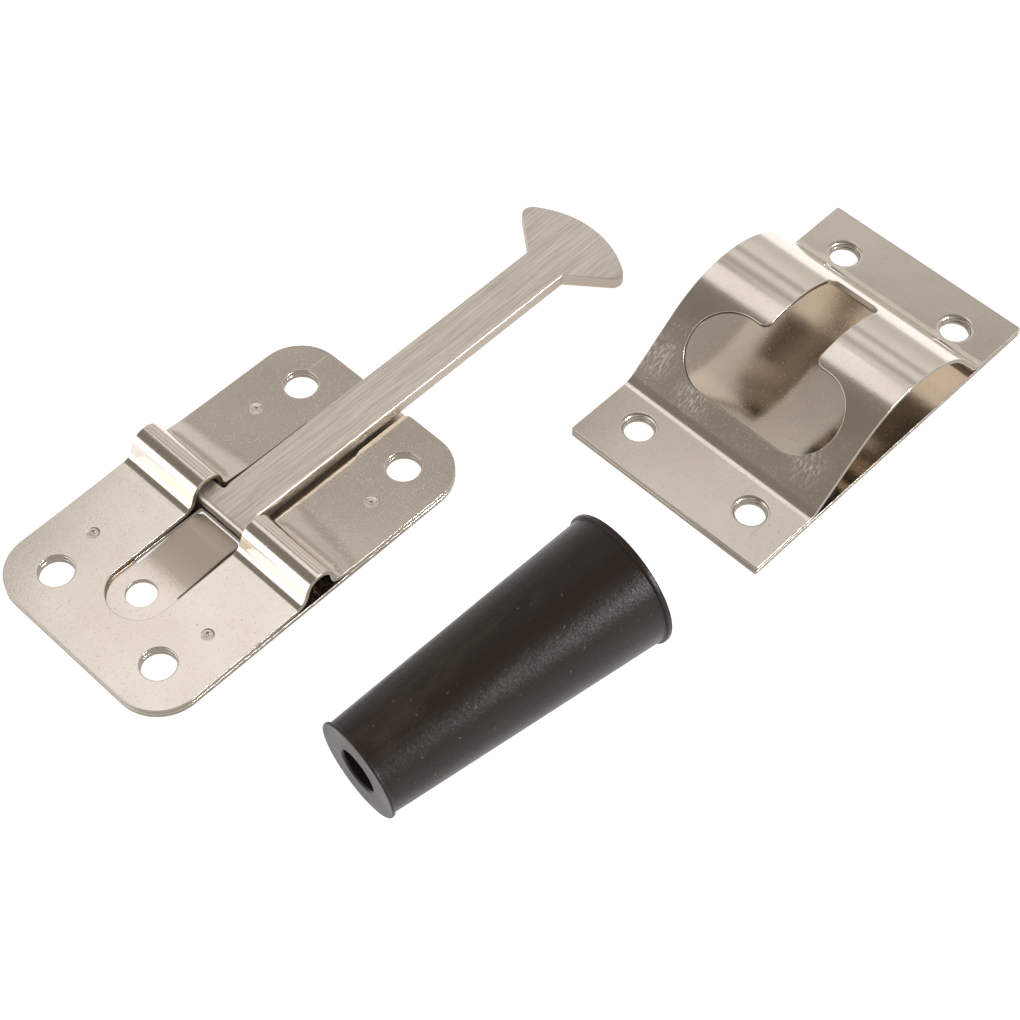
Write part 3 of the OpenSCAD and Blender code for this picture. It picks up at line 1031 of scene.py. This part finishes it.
@dataclass(frozen=True)
class Bumper:
    """A tapered rubber bumper with a rim at each end and a well for its screw, lying on both rims."""

    length: float = 56.0
    base_rim: float = 12.89
    nose_rim: float = 9.35
    rims: tuple[float, float] = (0.7, 1.0)
    base_step: float = 0.5
    nose_step: float = 0.5
    rim_edge: float = 0.28
    rim_root: float = 0.15
    bore_edge: float = 0.2
    well: float = 4.03
    seat: float = 9.0
    screw: float = 2.4
    mouth: float = 0.5
    place: tuple[float, float, float] = (-22.5, -56.2, 9.91)
    yaw: float = -6.7
    climb: float = 3.118

    def profile(self) -> Loop:
        """Half section as length along the bumper and radius, from the well's mouth round the outside and back."""
        l, r = self.length, self.rim_edge
        nose, base = self.rims
        return rounded_loop(
            [
                Corner(0, self.well, self.mouth),
                Corner(l - self.seat, self.well, self.bore_edge),
                Corner(l - self.seat, self.screw, self.bore_edge),
                Corner(l, self.screw, self.bore_edge),
                Corner(l, self.base_rim, r),
                Corner(l - base, self.base_rim, r),
                Corner(l - base, self.base_rim - self.base_step, self.rim_root),
                Corner(nose, self.nose_rim - self.nose_step, self.rim_root),
                Corner(nose, self.nose_rim, r),
                Corner(0, self.nose_rim, r),
            ][::-1],
            0.8,
            12.0,
        )

    def build(self) -> Piece:
        """Turns the half section about the bumper's axis and lays it down.

        A point is start + l axis + r (cos t side + sin t up).

        Returns:
            The piece.
        """
        tilt, yaw = math.radians(self.climb), math.radians(self.yaw)
        axis = np.array([math.cos(tilt) * math.cos(yaw), math.cos(tilt) * math.sin(yaw), math.sin(tilt)])
        side = np.array([-math.sin(yaw), math.cos(yaw), 0.0])
        up = np.cross(axis, side)
        line = self.profile()
        turns = 160
        t = 2 * math.pi * np.arange(turns) / turns
        ray = np.cos(t)[:, None] * side + np.sin(t)[:, None] * up
        p = np.array(self.place) + line.points[None, :, :1] * axis + line.points[None, :, 1:] * ray[:, None]
        n = line.normals[None, :, :1] * axis + line.normals[None, :, 1:] * ray[:, None]
        count = len(line.points)
        i, j = np.meshgrid(np.arange(turns), np.arange(count), indexing="ij")
        i1, j1 = (i + 1) % turns, (j + 1) % count
        quads = np.stack([i * count + j, i * count + j1, i1 * count + j1, i1 * count + j], -1).reshape(-1, 4)
        return make_object("tapered_bumper", p.reshape(-1, 3), [quads], n.reshape(-1, 3))


# ---- studio ------------------------------------


@dataclass(frozen=True)
class Panel:
    """A soft panel that faces the set.

    Attributes:
        name: its name.
        azimuth: direction from the set, degrees from +X.
        climb: direction from the set, degrees up.
        distance: distance from the set, m.
        size: width and height, m.
        power: light power, W.
        roll: how far it is rolled, degrees.
        mirrored: whether polished metal shows it.
    """

    name: str
    azimuth: float
    climb: float
    distance: float
    size: tuple[float, float]
    power: float
    roll: float = 0.0
    mirrored: bool = True

    def hang(self, aim: Vector) -> None:
        """Hangs the panel so that it faces a point.

        Args:
            aim: the point, m.
        """
        data = bpy.data.lights.new(self.name, "AREA")
        data.shape = "RECTANGLE"
        data.size, data.size_y = self.size
        data.energy = self.power
        a, e, roll = (math.radians(v) for v in (self.azimuth, self.climb, self.roll))
        ray = Vector((math.cos(e) * math.cos(a), math.cos(e) * math.sin(a), math.sin(e)))
        light = bpy.data.objects.new(self.name, data)
        light.location = aim + ray * self.distance
        light.rotation_euler = ((-ray).to_track_quat("-Z", "Y") @ Quaternion((0, 0, 1), roll)).to_euler()
        light.visible_glossy = self.mirrored
        light.visible_camera = False
        bpy.context.scene.collection.objects.link(light)


@dataclass(frozen=True)
class Studio:
    """White floor, soft light all round and the camera of the photograph. Lengths in mm."""

    eye: tuple[float, float, float] = (-133.71, -198.58, 333.97)
    aim: tuple[float, float, float] = (36.49, -33.01, 0.0)
    lens: float = 81.0
    left: Tones = ((0.50, "#F7F5F2"), (0.62, "#8C857D"))
    right: Tones = (
        (0.2, "#DAD5CE"),
        (0.505, "#F4F1ED"),
        (0.555, "#B5AEA6"),
        (0.585, "#B5AEA6"),
        (0.64, "#F7F5F2"),
        (0.71, "#F7F5F2"),
        (0.748, "#B0A9A1"),
        (0.79, "#B4ADA5"),
        (0.82, "#9E978F"),
    )
    panels: tuple[Panel, ...] = (
        Panel("top_softbox", 59.5, 63.4, 1.6, (0.6, 0.51), 0.8, -31.5),
        Panel("small_softbox", 31.2, 55.9, 1.73, (0.32, 0.26), 0.13),
        Panel("side_wall", 150.0, 9.0, 1.2, (1.2, 1.0), 5.6),
        Panel("low_strip", -66.0, 30.0, 1.2, (0.4, 0.12), 12.0),
        Panel("fill", 240.0, 80.0, 2.0, (2.4, 2.4), 24.0, mirrored=False),
    )

    def camera(self) -> None:
        """Camera above the arm plate's corner, looking down the set."""
        data = bpy.data.cameras.new("camera")
        data.lens = self.lens
        data.sensor_width = 36.0
        data.clip_start = 0.01
        camera = bpy.data.objects.new("camera", data)
        camera.location = Vector(self.eye) * MM
        camera.rotation_euler = (Vector(self.aim) - Vector(self.eye)).to_track_quat("-Z", "Y").to_euler()
        bpy.context.scene.collection.objects.link(camera)
        bpy.context.scene.camera = camera

    def floor(self) -> None:
        """A pale plain floor."""
        r = 6.0
        mesh = bpy.data.meshes.new("floor")
        mesh.from_pydata([(-r, -r, 0), (r, -r, 0), (r, r, 0), (-r, r, 0)], [], [(0, 1, 2, 3)])
        floor = bpy.data.objects.new("floor", mesh)
        floor.location.z = -0.02 * MM
        bpy.context.scene.collection.objects.link(floor)
        # White acrylic lit from below, so that the set throws hardly any shadow
        m, node = blank_material("lit_white_acrylic")
        shader = node(
            "BsdfPrincipled",
            Base_Color=linear("#A8A8A8"),
            Roughness=0.9,
            Specular_IOR_Level=0.1,
            Emission_Color=linear("#FFFFFF"),
            Emission_Strength=0.78,
        )
        node("OutputMaterial", Surface=shader)
        mesh.materials.append(m)

    @staticmethod
    def tones(node: Callable[..., Any], height: bpy.types.NodeSocket, marks: Tones) -> Any:
        """Colours by height.

        Args:
            node: add_node for the world's tree.
            height: the sine of the elevation.
            marks: heights from 0 to 1 and the colours there.

        Returns:
            The colour at the height.
        """
        ramp = node("ValToRGB", Fac=height)
        stops = ramp.color_ramp.elements
        for (at, code), stop in zip(marks, [stops[0], stops[1], *(stops.new(1.0) for _ in marks[2:])]):
            stop.position, stop.color = at, linear(code)
        return ramp.outputs["Color"]

    def surroundings(self) -> None:
        """Light tent: bright low walls, dim open top, and on the right a pale cornice between them."""
        world = bpy.data.worlds.new("tent")
        bpy.context.scene.world = world
        world.use_nodes = True
        world.node_tree.nodes.clear()
        node = partial(add_node, world.node_tree)
        way = node("TexCoord").outputs["Generated"]
        xyz = node("SeparateXYZ", Vector=way)
        left, right = (self.tones(node, xyz.outputs["Z"], tones) for tones in (self.left, self.right))
        side = node("MapRange", interpolation_type="SMOOTHSTEP", Value=xyz.outputs["X"], i1=-0.3, i2=0.45)
        tent = node("Mix", data_type="RGBA", Factor=side, i6=left, i7=right)
        back = node("Background", Color=tent.outputs[2], Strength=1.0)
        node("OutputWorld", Surface=back)

    def build(self) -> None:
        """Sets up the whole studio."""
        self.camera()
        self.floor()
        self.surroundings()
        for panel in self.panels:
            panel.hang(Vector(self.aim) * MM)
        view = bpy.context.scene.view_settings
        view.view_transform = "Standard"
        view.look = "None"


def main() -> None:
    """Builds the set piece by piece."""
    logging.basicConfig(level=logging.INFO, format="%(name)s: %(message)s")
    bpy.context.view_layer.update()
    Studio().build()
    sheet, shade_darkened_sheet, bar, rubber = (finish.value.material() for finish in Finish)
    plate, catch = ArmPlate(), Catch()
    dress(plate.front(), "front_plate", "root", sheet)
    dress(plate.back(), "back_plate", "root", sheet)
    dress(Arm().build(), "holder_arm", "arm", bar)
    dress(catch.cover(), "catch_cover", "root", sheet)
    # The back sheet under the domed cover takes the darker copy of the sheet finish: painted shade
    dress(catch.back(), "catch_back", "root", shade_darkened_sheet)
    dress(Bumper().build(), "rubber_bumper", "root", rubber)


if __name__ == "__main__":
    main()
